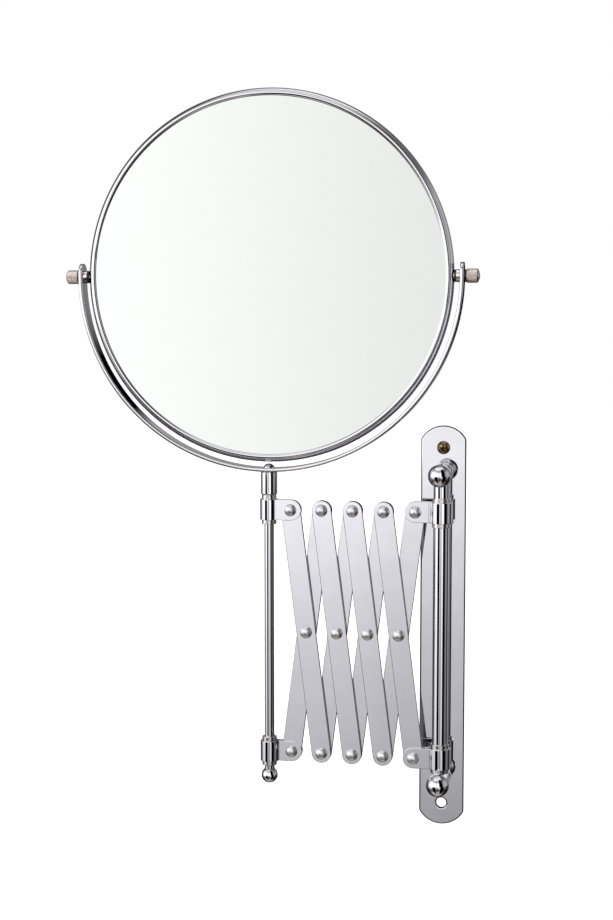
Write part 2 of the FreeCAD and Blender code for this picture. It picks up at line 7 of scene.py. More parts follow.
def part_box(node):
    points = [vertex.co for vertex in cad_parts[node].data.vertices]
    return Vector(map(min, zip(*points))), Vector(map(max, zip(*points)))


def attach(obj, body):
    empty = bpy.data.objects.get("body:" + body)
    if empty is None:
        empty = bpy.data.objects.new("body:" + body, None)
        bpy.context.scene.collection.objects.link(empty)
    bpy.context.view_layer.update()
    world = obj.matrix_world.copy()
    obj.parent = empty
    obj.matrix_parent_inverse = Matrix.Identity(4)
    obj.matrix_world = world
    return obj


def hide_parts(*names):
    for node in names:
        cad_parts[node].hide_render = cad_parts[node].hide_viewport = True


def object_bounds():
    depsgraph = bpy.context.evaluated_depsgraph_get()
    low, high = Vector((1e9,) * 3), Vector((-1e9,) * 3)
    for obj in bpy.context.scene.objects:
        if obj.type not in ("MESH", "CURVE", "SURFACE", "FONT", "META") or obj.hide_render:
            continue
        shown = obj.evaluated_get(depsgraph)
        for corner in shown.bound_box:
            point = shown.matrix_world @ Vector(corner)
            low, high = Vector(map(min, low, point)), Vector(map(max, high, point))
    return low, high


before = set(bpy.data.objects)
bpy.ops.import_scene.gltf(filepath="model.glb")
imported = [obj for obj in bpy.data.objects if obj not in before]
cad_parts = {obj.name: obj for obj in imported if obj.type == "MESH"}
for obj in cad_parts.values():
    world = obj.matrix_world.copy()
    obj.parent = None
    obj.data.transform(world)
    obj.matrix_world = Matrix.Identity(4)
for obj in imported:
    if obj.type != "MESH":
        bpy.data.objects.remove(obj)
cad_low, cad_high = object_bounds()

# The viewpoint: about a metre in front of the folded arm, a little to its right
# and above its middle, looking slightly down on it with a short telephoto.
camera = bpy.data.objects.new("camera", bpy.data.cameras.new("camera"))
bpy.context.scene.collection.objects.link(camera)
camera.data.sensor_width = 36.0
camera.data.lens = 65.69
camera.location = (0.0955, -0.9433, 0.1787)
camera.rotation_euler = (math.radians(84.94), 0.0, math.radians(10.48))
bpy.context.scene.camera = camera
bpy.context.scene.view_settings.view_transform = "Standard"

# The room: a white sweep over a pale floor. What the chrome reflects is a ring of
# soft boxes and black flags round the object, brighter overhead and dim behind.
# Headings are in degrees from straight in front, positive to the right.
def maths(tree, operation, first, second=0.0):
    """One math node; each term is a number or another node's output."""
    node = tree.nodes.new("ShaderNodeMath")
    node.operation = operation
    for socket, term in zip(node.inputs, (first, second)):
        if isinstance(term, bpy.types.NodeSocket):
            tree.links.new(term, socket)
        else:
            socket.default_value = term
    return node.outputs[0]


def added(tree, kind, **values):
    """A node of one kind, its sockets joined or set by name, or by number as _0."""
    node = tree.nodes.new(kind)
    for name, value in values.items():
        key = int(name[1:]) if name.startswith("_") else name.replace("_", " ")
        if isinstance(value, bpy.types.Node):
            value = value.outputs[0]
        if isinstance(value, bpy.types.NodeSocket):
            tree.links.new(value, node.inputs[key])
        else:
            node.inputs[key].default_value = value
    return node


def graded(tree, factor, stops):
    """A colour ramp from a list of (place from 0 to 1, colour or grey)."""
    node = tree.nodes.new("ShaderNodeValToRGB")
    tree.links.new(factor, node.inputs[0])
    steps = node.color_ramp.elements
    steps.remove(steps[1])
    for number, (place, colour) in enumerate(stops):
        step = steps[0] if number == 0 else steps.new(place)
        step.position = place
        grey = isinstance(colour, (int, float))
        step.color = (colour, colour, colour, 1.0) if grey else (*colour, 1.0)
    return node.outputs[0]


def blended(tree, how, factor, first, second):
    """A colour mix node, with the factor and colours as numbers or outputs."""
    node = tree.nodes.new("ShaderNodeMix")
    node.data_type = "RGBA"
    node.blend_type = how
    for name, term in ((0, factor), (6, first), (7, second)):
        if isinstance(term, bpy.types.NodeSocket):
            tree.links.new(term, node.inputs[name])
        else:
            node.inputs[name].default_value = term
    return node.outputs[2]


low_lights = [
    (-180, 0.45), (-150, 0.30), (-126, 0.20), (-112, 0.10), (-98, 0.45), (-84, 1.05),
    (-74, 2.1), (-47, 2.1), (-44, 0.10), (-41, 0.0), (-14.4, 0.0), (-13.2, 1.50),
    (-9, 1.45), (-7, 1.30), (-4.5, 1.25), (0, 0.55), (12, 1.10), (22, 2.0), (31, 2.0),
    (36, 0.05), (40, 0.0), (64, 0.0), (70, 0.16), (84, 0.55), (96, 0.50), (106, 0.10),
    (118, 0.04), (142, 0.26), (163, 0.28), (167, 0.0), (176, 0.0), (180, 0.45),
]
high_lights = [
    (-180, 0.45), (-172, 0.34), (-150, 0.30), (-130, 0.16), (-112, 0.06), (-100, 0.30), (-88, 0.80),
    (-78, 2.0), (-42, 2.0), (-26, 1.70), (-18, 1.64), (-12, 1.46), (-6, 1.29), (0, 1.32),
    (14, 1.75), (22, 1.75), (25, 0.04), (28, 0.0), (60, 0.0), (66, 0.35), (80, 0.62),
    (110, 0.60), (124, 0.40), (140, 0.24), (163, 0.26), (167, 0.0), (176, 0.0), (180, 0.45),
]
rise_lights = [
    (-90, (0.62, 0.60, 0.57)), (-60, (0.46, 0.43, 0.40)), (-42, (0.10, 0.08, 0.06)),
    (-30, (0.10, 0.08, 0.07)), (-22, (0.30, 0.29, 0.28)), (-17, (0.40, 0.40, 0.41)),
    (-15, (0.50, 0.50, 0.51)), (-11, (0.65, 0.65, 0.66)), (-7, (0.90, 0.90, 0.91)),
    (-5.5, 1.0), (30, 1.0), (40, (0.36, 0.36, 0.37)), (56, (0.42, 0.42, 0.43)), (66, 1.1), (90, 1.4),
]
studio = bpy.data.worlds.new("studio")
bpy.context.scene.world = studio
studio.use_nodes = True
room = studio.node_tree
room.nodes.clear()
looking = room.nodes.new("ShaderNodeTexCoord")
parts = room.nodes.new("ShaderNodeSeparateXYZ")
room.links.new(looking.outputs["Generated"], parts.inputs[0])
towards_us = maths(room, "MULTIPLY", parts.outputs[1], -1.0)
turn = maths(room, "ARCTAN2", parts.outputs[0], towards_us)
heading = maths(room, "ADD", maths(room, "DIVIDE", turn, math.tau), 0.5)
rise = maths(room, "ARCSINE", parts.outputs[2])
height = maths(room, "ADD", maths(room, "DIVIDE", rise, math.pi), 0.5)
low_ring = graded(room, heading, [(place / 360 + 0.5, grey) for place, grey in low_lights])
high_ring = graded(room, heading, [(place / 360 + 0.5, grey) for place, grey in high_lights])
raised = graded(room, height, [(0.4685, 0.0), (0.4725, 1.0)])
ring_light = blended(room, "MIX", raised, low_ring, high_ring)
poleward = graded(room, height, [(0.06, 1.0), (0.16, 0.0), (0.84, 0.0), (0.90, 1.0)])
all_round = blended(room, "MIX", poleward, ring_light, (1.0, 1.0, 1.0, 1.0))
by_height = graded(room, height, [(place / 180 + 0.5, colour) for place, colour in rise_lights])
reflected = blended(room, "MULTIPLY", 1.0, all_round, by_height)
seen_directly = room.nodes.new("ShaderNodeLightPath").outputs["Is Camera Ray"]
shown = blended(room, "MIX", seen_directly, reflected, (1.0, 1.0, 1.0, 1.0))
glow = room.nodes.new("ShaderNodeBackground")
room.links.new(shown, glow.inputs["Color"])
room_output = room.nodes.new("ShaderNodeOutputWorld")
room.links.new(glow.outputs[0], room_output.inputs["Surface"])

FLOOR_DROP = 0.12
floor_level = cad_low.z - FLOOR_DROP
floor_reach = 6.0
floor = bpy.data.objects.new("floor", bpy.data.meshes.new("floor"))
bpy.context.scene.collection.objects.link(floor)
floor_corners = [
    (-floor_reach, -floor_reach, floor_level), (floor_reach, -floor_reach, floor_level),
    (floor_reach, floor_reach, floor_level), (-floor_reach, floor_reach, floor_level),
]
floor.data.from_pydata(floor_corners, [], [(0, 1, 2, 3)])
floor_paint = bpy.data.materials.new("pale_floor")
floor_paint.use_nodes = True
floor_shader = floor_paint.node_tree.nodes["Principled BSDF"]
floor_shader.inputs["Base Color"].default_value = (0.9, 0.9, 0.9, 1.0)
floor_shader.inputs["Roughness"].default_value = 0.9
floor_shader.inputs["Emission Color"].default_value = (1.0, 1.0, 1.0, 1.0)
floor_shader.inputs["Emission Strength"].default_value = 0.75
floor.data.materials.append(floor_paint)
floor.visible_glossy = False
floor.visible_diffuse = False

# Wall plate: a 2.5 mm steel strip with bowed ends and softly rounded front edge,
# bright chromed, its edges painted dark as painted shade and dark reflection. Two screw holes, and
# two holes where the posts are riveted in.
PLATE_BOW = 7.75
PLATE_ROUNDING = 1.0
SCREW_HOLE_INSET = 12.5
SCREW_HOLE_RADIUS = 2.8
POST_TAIL_RADIUS = 2.5
# Pressed sheet edges get painted shade: their colour is darkened to stand in for shadow and dark reflection.
PAINTED_EDGE_SHADE_REACH = 0.9
PAINTED_EDGE_SHADE = 0.10
WAVE_DEPTH = 0.00002
LINE_DEPTH = 0.000002
COARSE_DEPTH = 0.00004


def box_mm(node):
    """A CAD node's lowest and highest corners, in millimetres."""
    low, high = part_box(node)
    return low * 1000, high * 1000


def middle_mm(node):
    low, high = box_mm(node)
    return (low + high) / 2


def new_piece(name, mesh, finish):
    """Object at the origin for a finished mesh given in millimetres."""
    mesh.transform(Matrix.Scale(0.001, 4))
    mesh.materials.clear()
    mesh.materials.append(finish)
    piece = bpy.data.objects.new(name, mesh)
    bpy.context.scene.collection.objects.link(piece)
    return piece


def fitted(piece, body, node):
    """The piece takes the place of one CAD node and moves with its body."""
    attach(piece, body)
    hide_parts(node)


def arc(centre_x, centre_y, radius, start, end, steps):
    """Points round part of a circle, from one angle to another in degrees."""
    angles = [math.radians(start + (end - start) * n / steps) for n in range(steps + 1)]
    return [(centre_x + radius * math.cos(a), centre_y + radius * math.sin(a)) for a in angles]


def pressed_sheet(name, outline, holes, thickness, rounding, place, finish):
    """Flat sheet cut to an outline with holes, its edges rolled over on both faces.
    The outline runs anticlockwise and the place turns (x, y, thickness) to the frame."""
    sheet = bmesh.new()
    steps = 4
    caps = {1: [], -1: []}
    vertex_normals = []

    def inwards(loop, number):
        before, after = Vector(loop[number - 1]), Vector(loop[(number + 1) % len(loop)])
        along = (after - before).normalized()
        return Vector((-along.y, along.x))

    for loop in [outline] + holes:
        side_rings = []
        for side in (1, -1):
            for step in range(steps + 1):
                lean = math.pi / 2 * step / steps
                ring = []
                for number, corner in enumerate(loop):
                    inset = inwards(loop, number)
                    spot = Vector(corner) + inset * rounding * (1 - math.cos(lean))
                    level = thickness / 2 - rounding + rounding * math.sin(lean)
                    ring.append(sheet.verts.new((spot.x, spot.y, side * level)))
                    outwards = -inset * math.cos(lean)
                    vertex_normals.append(Vector((outwards.x, outwards.y, side * math.sin(lean))))
                side_rings.append(ring)
            caps[side].append(side_rings[-1])
        top, bottom = side_rings[:steps + 1], side_rings[steps + 1:]
        order = top[::-1] + bottom
        for upper, lower in zip(order, order[1:]):
            for number in range(len(loop)):
                follower = (number + 1) % len(loop)
                sheet.faces.new((upper[number], lower[number], lower[follower], upper[follower]))
    for side in (1, -1):
        rim = []
        for ring in caps[side]:
            for number in range(len(ring)):
                rim.append(sheet.edges.get((ring[number], ring[(number + 1) % len(ring)])))
        bmesh.ops.triangle_fill(sheet, edges=rim, use_beauty=True, normal=(0, 0, side))
    bmesh.ops.recalc_face_normals(sheet, faces=sheet.faces)
    mesh = bpy.data.meshes.new(name)
    sheet.to_mesh(mesh)
    sheet.free()
    mesh.shade_smooth()
    mesh.normals_split_custom_set_from_vertices(vertex_normals)
    # Faces round the sheet's edge are marked for painted shade and dark reflection, darkened in the finish.
    painted_edge_mask = mesh.attributes.new("painted_edge_shade", "FLOAT", "FACE")
    for number, face in enumerate(mesh.polygons):
        painted_edge_mask.data[number].value = 1.0 if abs(face.normal.z) < PAINTED_EDGE_SHADE_REACH else 0.0
    mesh.transform(place)
    return new_piece(name, mesh, finish)


def new_finish(name):
    """A new material with its node tree, its shader and its object coordinates."""
    finish = bpy.data.materials.new(name)
    finish.use_nodes = True
    tree = finish.node_tree
    where = tree.nodes.new("ShaderNodeTexCoord").outputs["Object"]
    return finish, tree, tree.nodes["Principled BSDF"], where


def polished_metal(
    name, tint, roughness, waviness=0.5, haze=0.03, grain=(1.0, 1.0, 1.0), coarse=0.0, deeper=0.96,
):
    """Plated metal: slow waves left by the polishing wheel, hazy patches and hairlines."""
    metal, tree, shader, where = new_finish(name)
    shader.inputs["Metallic"].default_value = 1.0
    patches = added(tree, "ShaderNodeTexNoise", Scale=90.0, Detail=3.0, Vector=where).outputs["Fac"]
    stretched = added(tree, "ShaderNodeMapping", Scale=grain, Vector=where)
    hairlines = added(tree, "ShaderNodeTexNoise", Scale=1800.0, Detail=2.0, Vector=stretched).outputs["Fac"]
    shaded = tuple(channel * deeper for channel in tint)
    colour = graded(tree, patches, [(0.35, shaded), (0.65, tint)])
    # Painted shade: faces marked as sheet edges are darkened to near black, standing in for shadow and dark
    # reflection.
    painted_edge_mask = tree.nodes.new("ShaderNodeAttribute")
    painted_edge_mask.attribute_name = "painted_edge_shade"
    edge_shade_and_recess_cut = graded(tree, painted_edge_mask.outputs["Fac"], [(0.0, 1.0), (1.0, PAINTED_EDGE_SHADE)])
    tree.links.new(blended(tree, "MULTIPLY", 1.0, colour, edge_shade_and_recess_cut), shader.inputs["Base Color"])
    hazy = maths(tree, "MULTIPLY", patches, haze)
    lined = maths(tree, "MULTIPLY", hairlines, haze)
    rough = maths(tree, "ADD", maths(tree, "ADD", hazy, lined), roughness - haze)
    tree.links.new(rough, shader.inputs["Roughness"])
    waves = added(tree, "ShaderNodeBump", Strength=waviness, Distance=WAVE_DEPTH, Height=patches)
    lines = added(
        tree, "ShaderNodeBump", Strength=0.15 + coarse, Distance=LINE_DEPTH + COARSE_DEPTH * coarse,
        Height=hairlines, Normal=waves,
    )
    tree.links.new(lines.outputs[0], shader.inputs["Normal"])
    return metal


CHROME_TINT = (0.657, 0.649, 0.682)
plate_chrome = polished_metal("plate_chrome", CHROME_TINT, 0.03, 0.12, 0.015, (1.0, 1.0, 0.08))
plate_low, plate_high = box_mm("wall_plate")
plate_half = plate_high.x
plate_top = plate_high.z
plate_thickness = plate_high.y - plate_low.y
bow_radius = (plate_half**2 + PLATE_BOW**2) / (2 * PLATE_BOW)
bow_lean = math.degrees(math.asin(plate_half / bow_radius))
plate_outline = arc(0, plate_top - bow_radius, bow_radius, 90 - bow_lean, 90 + bow_lean, 40)
plate_outline += arc(0, bow_radius - plate_top, bow_radius, 270 - bow_lean, 270 + bow_lean, 40)
upper_post_z = middle_mm("upper_stand_off").z
lower_post_z = middle_mm("lower_stand_off").z
plate_holes = []
for hole_z, hole_radius in (
    (plate_top - SCREW_HOLE_INSET, SCREW_HOLE_RADIUS), (SCREW_HOLE_INSET - plate_top, SCREW_HOLE_RADIUS),
    (upper_post_z, POST_TAIL_RADIUS), (lower_post_z, POST_TAIL_RADIUS),
):
    plate_holes.append(arc(0, hole_z, hole_radius, 360, 0, 48)[:-1])
on_wall = Matrix.Translation((0, -plate_thickness / 2, 0)) @ Matrix.Rotation(math.radians(90), 4, "X")
plate = pressed_sheet(
    "chromed_wall_plate", plate_outline, plate_holes, plate_thickness, PLATE_ROUNDING, on_wall, plate_chrome,
)
fitted(plate, "wall_bracket", "wall_plate")

# Posts, balls and wall rod: turned brass, polished and chromed. Each post stands on
# a foot flange, the rod is held between the two posts, and a ball screws on in front.
POST_RADIUS = 4.2
POST_FOOT_THICKNESS = 1.2
BALL_STUD_RADIUS = 1.9
ROD_SPIGOT_RADIUS = 1.8
ROD_SPIGOT_DEPTH = 3.0


def softened(profile, softness, closed):
    """Rounds the corners of a profile, with a guard point either side of each so
    that the faces between them stay true."""
    rounded = []
    count = len(profile)
    for number, corner in enumerate(profile):
        corner = Vector(corner)
        if not closed and number in (0, count - 1):
            rounded.append(corner)
            continue
        before = Vector(profile[number - 1])
        after = Vector(profile[(number + 1) % count])
        into, out = corner - before, after - corner
        turning = into.angle(out)
        if turning < math.radians(22):
            rounded.append(corner)
            continue
        reach = min(softness * math.tan(turning / 2), into.length * 0.3, out.length * 0.3)
        start, end = corner - into.normalized() * reach, corner + out.normalized() * reach
        rounded.append(start - into.normalized() * reach * 0.4)
        for step in range(6):
            t = step / 5
            rounded.append(start * (1 - t)**2 + corner * 2 * t * (1 - t) + end * t**2)
        rounded.append(end + out.normalized() * reach * 0.4)
    return rounded


def turned(name, profile, base, axis, finish, softness=0.2, closed=False, around=96):
    """Lathe work. The profile lists (distance along the axis, radius) pairs, and a
    closed one makes a tube or a ring."""
    work = bmesh.new()
    axis = Vector(axis).normalized()
    across = axis.orthogonal().normalized()
    third = axis.cross(across)
    rings = []
    for along, radius in softened(profile, softness, closed):
        centre = Vector(base) + axis * along
        if radius < 0.001:
            rings.append([work.verts.new(centre)])
            continue
        ring = []
        for number in range(around):
            angle = math.tau * number / around
            out = across * math.cos(angle) + third * math.sin(angle)
            ring.append(work.verts.new(centre + out * radius))
        rings.append(ring)
    pairs = list(zip(rings, rings[1:]))
    if closed:
        pairs.append((rings[-1], rings[0]))
    for first, second in pairs:
        for number in range(around):
            follower = (number + 1) % around
            if len(first) == 1 and len(second) == 1:
                continue
            if len(first) == 1:
                work.faces.new((first[0], second[number], second[follower]))
            elif len(second) == 1:
                work.faces.new((first[number], second[0], first[follower]))
            else:
                work.faces.new((first[number], second[number], second[follower], first[follower]))
    bmesh.ops.recalc_face_normals(work, faces=work.faces)
    mesh = bpy.data.meshes.new(name)
    work.to_mesh(mesh)
    work.free()
    mesh.shade_smooth()
    return new_piece(name, mesh, finish)


turned_chrome = polished_metal("turned_chrome", CHROME_TINT, 0.012, 0.05, 0.008, (0.1, 0.1, 1.0))
for which in ("upper", "lower"):
    foot_low, foot_high = box_mm(which + "_stand_off")
    foot_radius = (foot_high.z - foot_low.z) / 2
    post_z = (foot_low.z + foot_high.z) / 2
    front = -foot_low.y
    shelf = plate_thickness + POST_FOOT_THICKNESS
    post = turned(
        which + "_post",
        [(0, 0), (0, POST_TAIL_RADIUS), (plate_thickness, POST_TAIL_RADIUS), (plate_thickness, foot_radius),
         (shelf, foot_radius), (shelf, POST_RADIUS), (front, POST_RADIUS), (front, 0)],
        (0, 0, post_z), (0, -1, 0), turned_chrome, 0.35,
    )
    fitted(post, "wall_bracket", which + "_stand_off")
    ball_low, ball_high = box_mm(which + "_ball_head")
    ball_radius = (ball_high.x - ball_low.x) / 2
    ball_y = ball_low.y + ball_radius
    reach = -ball_y - front
    neck = math.degrees(math.acos(-reach / ball_radius))
    stud_end = ball_y - ball_high.y
    ball_profile = [(ball_radius, 0)] + arc(0, 0, ball_radius, 0, neck, 48)[1:]
    ball_profile += [(-reach, BALL_STUD_RADIUS), (stud_end, BALL_STUD_RADIUS), (stud_end, 0)]
    ball = turned(which + "_ball", ball_profile, (0, ball_y, post_z), (0, -1, 0), turned_chrome, 0.05)
    fitted(ball, "wall_bracket", which + "_ball_head")
rod_low, rod_high = box_mm("wall_rod")
rod_middle = middle_mm("wall_rod")
wall_rod_radius = (rod_high.x - rod_low.x) / 2
rod_length = rod_high.z - rod_low.z
wall_rod = turned(
    "chromed_wall_rod",
    [(0, 0), (0, ROD_SPIGOT_RADIUS),
     (ROD_SPIGOT_DEPTH, ROD_SPIGOT_RADIUS), (ROD_SPIGOT_DEPTH, wall_rod_radius),
     (rod_length - ROD_SPIGOT_DEPTH, wall_rod_radius), (rod_length - ROD_SPIGOT_DEPTH, ROD_SPIGOT_RADIUS),
     (rod_length, ROD_SPIGOT_RADIUS), (rod_length, 0)],
    (rod_middle.x, rod_middle.y, rod_low.z), (0, 0, 1), turned_chrome, 0.2,
)
fitted(wall_rod, "wall_bracket", "wall_rod")

# Wall screw: a pan head wood screw in an antique brass finish, with a cross recess,
# driven through the plate's upper hole. Its shank stands out behind the plate.
SCREW_HEAD_RADIUS = 3.8
SCREW_HEAD_HEIGHT = 2.3
SCREW_SHANK_RADIUS = 2.1
SCREW_THREAD_PITCH = 1.6
SCREW_ROOT_SHARE = 0.78
SCREW_TIP = 4.0
RECESS_LENGTH = 4.6
RECESS_WIDTH = 1.0
antique_brass = polished_metal("antique_brass", (0.36, 0.25, 0.15), 0.30, 0.8, 0.10, (1.0, 1.0, 1.0), 0.3)
screw_low, screw_high = box_mm("wall_screw")
screw_z = (screw_low.z + screw_high.z) / 2
screw_ball = (SCREW_HEAD_RADIUS**2 + SCREW_HEAD_HEIGHT**2) / (2 * SCREW_HEAD_HEIGHT)
screw_lean = math.degrees(math.asin(SCREW_HEAD_RADIUS / screw_ball))
screw_profile = arc(SCREW_HEAD_HEIGHT - screw_ball, 0, screw_ball, 0, screw_lean, 14)
screw_profile[0] = (SCREW_HEAD_HEIGHT, 0)
screw_reach = screw_high.y + plate_thickness
screw_profile.append((0, SCREW_SHANK_RADIUS))
threads = int((screw_reach - SCREW_TIP - plate_thickness) / SCREW_THREAD_PITCH)
screw_profile.append((-plate_thickness, SCREW_SHANK_RADIUS))
for thread in range(threads):
    start = -plate_thickness - thread * SCREW_THREAD_PITCH
    screw_profile.append((start - SCREW_THREAD_PITCH * 0.3, SCREW_SHANK_RADIUS * SCREW_ROOT_SHARE))
    screw_profile.append((start - SCREW_THREAD_PITCH * 0.75, SCREW_SHANK_RADIUS * SCREW_ROOT_SHARE))
    screw_profile.append((start - SCREW_THREAD_PITCH, SCREW_SHANK_RADIUS))
screw_profile += [(-screw_reach + SCREW_TIP, SCREW_SHANK_RADIUS * 0.8), (-screw_reach, 0)]
screw = turned(
    "wall_screw_pan_head", screw_profile, (0, -plate_thickness, screw_z), (0, -1, 0), antique_brass, 0.08,
)
recess = bmesh.new()
for wide, tall in ((RECESS_LENGTH, RECESS_WIDTH), (RECESS_WIDTH, RECESS_LENGTH)):
    slab = bmesh.ops.create_cube(recess, size=1.0)["verts"]
    bmesh.ops.scale(recess, vec=(wide, 2.0, tall), verts=slab)
    bmesh.ops.translate(recess, vec=(0, -plate_thickness - SCREW_HEAD_HEIGHT - 0.1, screw_z), verts=slab)
recess_mesh = bpy.data.meshes.new("recess")
recess.to_mesh(recess_mesh)
recess.free()
recess_tool = new_piece("recess", recess_mesh, antique_brass)


def settled(piece, tool):
    """Makes a piece's modifiers part of its own mesh and throws the tool away."""
    bpy.context.view_layer.update()
    evaluated = piece.evaluated_get(bpy.context.evaluated_depsgraph_get())
    mesh = bpy.data.meshes.new_from_object(evaluated)
    piece.modifiers.clear()
    piece.data = mesh
    bpy.data.objects.remove(tool)


edge_shade_and_recess_cut = screw.modifiers.new("recess", "BOOLEAN")
edge_shade_and_recess_cut.operation = "DIFFERENCE"
edge_shade_and_recess_cut.use_self = True
edge_shade_and_recess_cut.object = recess_tool
settled(screw, recess_tool)
screw.data.set_sharp_from_angle(angle=math.radians(40))
patina = screw.data.attributes.new("patina", "FLOAT", "FACE")
for number, face in enumerate(screw.data.polygons):
    out = -face.center.y * 1000 - plate_thickness
    from_axis = math.hypot(face.center.x, face.center.z - screw_z / 1000) * 1000
    from_axis = min(from_axis, SCREW_HEAD_RADIUS)
    dome_level = math.sqrt(screw_ball**2 - from_axis**2) - screw_ball + SCREW_HEAD_HEIGHT
    patina.data[number].value = 1.0 if out > 0 and dome_level - out > 0.06 else 0.0
brass_tree = antique_brass.node_tree
brass_shader = brass_tree.nodes["Principled BSDF"]
bare_brass = brass_shader.inputs["Base Color"].links[0].from_socket
in_recess = brass_tree.nodes.new("ShaderNodeAttribute")
in_recess.attribute_name = "patina"
darkened = blended(brass_tree, "MIX", in_recess.outputs["Fac"], bare_brass, (0.02, 0.014, 0.008, 1.0))
brass_tree.links.new(darkened, brass_shader.inputs["Base Color"])
fitted(screw, "wall_bracket", "wall_screw")

# Scissor links: flat chromed bars with round ends, crossed in two layers and pinned
# at both ends and in the middle. The front layer leans one way, the rear the other.
LINK_ROUNDING = 0.3
RIVET_HOLE_RADIUS = 1.55
UNITS = 4
link_chrome = polished_metal("link_chrome", CHROME_TINT, 0.03, 0.15, 0.015, (1.0, 1.0, 0.06))
near_x, _, low_z = middle_mm("lower_wall_clip_rivet")
end_x = middle_mm("lower_head_clip_rivet").x
high_z = middle_mm("upper_wall_clip_rivet").z
pitch = (near_x - end_x) / UNITS
link_length = math.hypot(pitch, high_z - low_z)
link_low, link_high = box_mm("front_link_1")
link_half = ((link_high.z - link_low.z) - (high_z - low_z)) / 2
link_thickness = link_high.y - link_low.y
link_outline = arc(0, link_length / 2, link_half, 0, 180, 32)
link_outline += arc(0, -link_length / 2, link_half, 180, 360, 32)
link_holes = []
for at in (-link_length / 2, 0, link_length / 2):
    link_holes.append(arc(0, at, RIVET_HOLE_RADIUS, 360, 0, 32)[:-1])
for unit in range(1, UNITS + 1):
    for layer, lean in (("front", 1), ("rear", -1)):
        node = "%s_link_%d" % (layer, unit)
        tilt = math.atan2(pitch, high_z - low_z) * lean
        upright = Matrix.Rotation(math.radians(90), 4, "X")
        turn_in_place = Matrix.Rotation(-tilt, 4, "Y")
        place = Matrix.Translation(middle_mm(node)) @ turn_in_place @ upright
        bar = pressed_sheet(
            node + "_bar", link_outline, link_holes, link_thickness, LINK_ROUNDING, place, link_chrome,
        )
        fitted(bar, node, node)

# Rivets: one pin through each crossing of the links and through each clip's tabs.
# The domed head is in front and the smaller peened tail behind.
RIVET_HEAD_RADIUS = 3.5
RIVET_HEAD_HEIGHT = 2.0
RIVET_TAIL_RADIUS = 2.6
RIVET_TAIL_HEIGHT = 0.9
RIVET_SHANK_RADIUS = 1.5
rivet_satin = polished_metal("rivet_satin", (0.74, 0.74, 0.765), 0.40, 0.8, 0.08, (1.0, 1.0, 1.0), 0.2)


def tree_input(tree, name, kind, value=None):
    socket = tree.interface.new_socket(name, in_out="INPUT", socket_type=kind)
    if value is not None:
        socket.default_value = value
    return socket


def domed(tree, radius, rise, around):
    """A spherical cap on a flat disc, pole on +Z, as nodes."""
    radius_squared = maths(tree, "POWER", radius, 2.0)
    squares = maths(tree, "ADD", radius_squared, maths(tree, "POWER", rise, 2.0))
    ball = maths(tree, "DIVIDE", squares, maths(tree, "MULTIPLY", rise, 2.0))
    widest = maths(tree, "ARCSINE", maths(tree, "DIVIDE", radius, ball))
    grid = added(tree, "GeometryNodeMeshGrid", Size_X=1.0, Size_Y=1.0, Vertices_X=around + 1, Vertices_Y=11)
    spot = added(tree, "ShaderNodeSeparateXYZ", _0=tree.nodes.new("GeometryNodeInputPosition"))
    angle = maths(tree, "MULTIPLY", maths(tree, "ADD", spot.outputs[0], 0.5), math.tau)
    lean = maths(tree, "MULTIPLY", maths(tree, "ADD", spot.outputs[1], 0.5), widest)
    out = maths(tree, "MULTIPLY", maths(tree, "SINE", lean), ball)
    up = maths(tree, "MULTIPLY", maths(tree, "COSINE", lean), ball)
    up = maths(tree, "ADD", maths(tree, "SUBTRACT", up, ball), rise)
    bent = added(
        tree, "ShaderNodeCombineXYZ",
        X=maths(tree, "MULTIPLY", out, maths(tree, "COSINE", angle)),
        Y=maths(tree, "MULTIPLY", out, maths(tree, "SINE", angle)),
        Z=up,
    )
    cap = added(tree, "GeometryNodeSetPosition", Geometry=grid, Position=bent)
    disc = added(tree, "GeometryNodeMeshCircle", Vertices=around, Radius=radius)
    disc.fill_type = "NGON"
    under = added(tree, "GeometryNodeFlipFaces", Mesh=disc)
    both = tree.nodes.new("GeometryNodeJoinGeometry")
    tree.links.new(cap.outputs[0], both.inputs[0])
    tree.links.new(under.outputs[0], both.inputs[0])
    welded = added(tree, "GeometryNodeMergeByDistance", Geometry=both, Distance=0.002)
    return welded.outputs[0]


rivet_tree = bpy.data.node_groups.new("rivets", "GeometryNodeTree")
tree_input(rivet_tree, "Places", "NodeSocketGeometry")
for name, value in (
    ("Head Radius", RIVET_HEAD_RADIUS), ("Head Height", RIVET_HEAD_HEIGHT),
    ("Tail Radius", RIVET_TAIL_RADIUS), ("Tail Height", RIVET_TAIL_HEIGHT),
    ("Shank Radius", RIVET_SHANK_RADIUS),
):
    tree_input(rivet_tree, name, "NodeSocketFloat", value)
grip_input = tree_input(rivet_tree, "Grip", "NodeSocketFloat", 3.4)
finish_input = tree_input(rivet_tree, "Finish", "NodeSocketMaterial")
rivet_tree.interface.new_socket("Rivets", in_out="OUTPUT", socket_type="NodeSocketGeometry")
given = rivet_tree.nodes.new("NodeGroupInput").outputs
head = domed(rivet_tree, given["Head Radius"], given["Head Height"], 40)
tail = domed(rivet_tree, given["Tail Radius"], given["Tail Height"], 32)
half_grip = maths(rivet_tree, "DIVIDE", given["Grip"], 2.0)
head_lift = added(rivet_tree, "ShaderNodeCombineXYZ", Z=half_grip)
head_placed = added(rivet_tree, "GeometryNodeTransform", Geometry=head, Translation=head_lift)
tail_drop = added(rivet_tree, "ShaderNodeCombineXYZ", Z=maths(rivet_tree, "MULTIPLY", half_grip, -1.0))
tail_placed = added(
    rivet_tree, "GeometryNodeTransform", Geometry=tail, Translation=tail_drop, Rotation=(math.pi, 0, 0),
)
shank = added(
    rivet_tree, "GeometryNodeMeshCylinder", Vertices=32, Radius=given["Shank Radius"], Depth=given["Grip"],
)
whole = rivet_tree.nodes.new("GeometryNodeJoinGeometry")
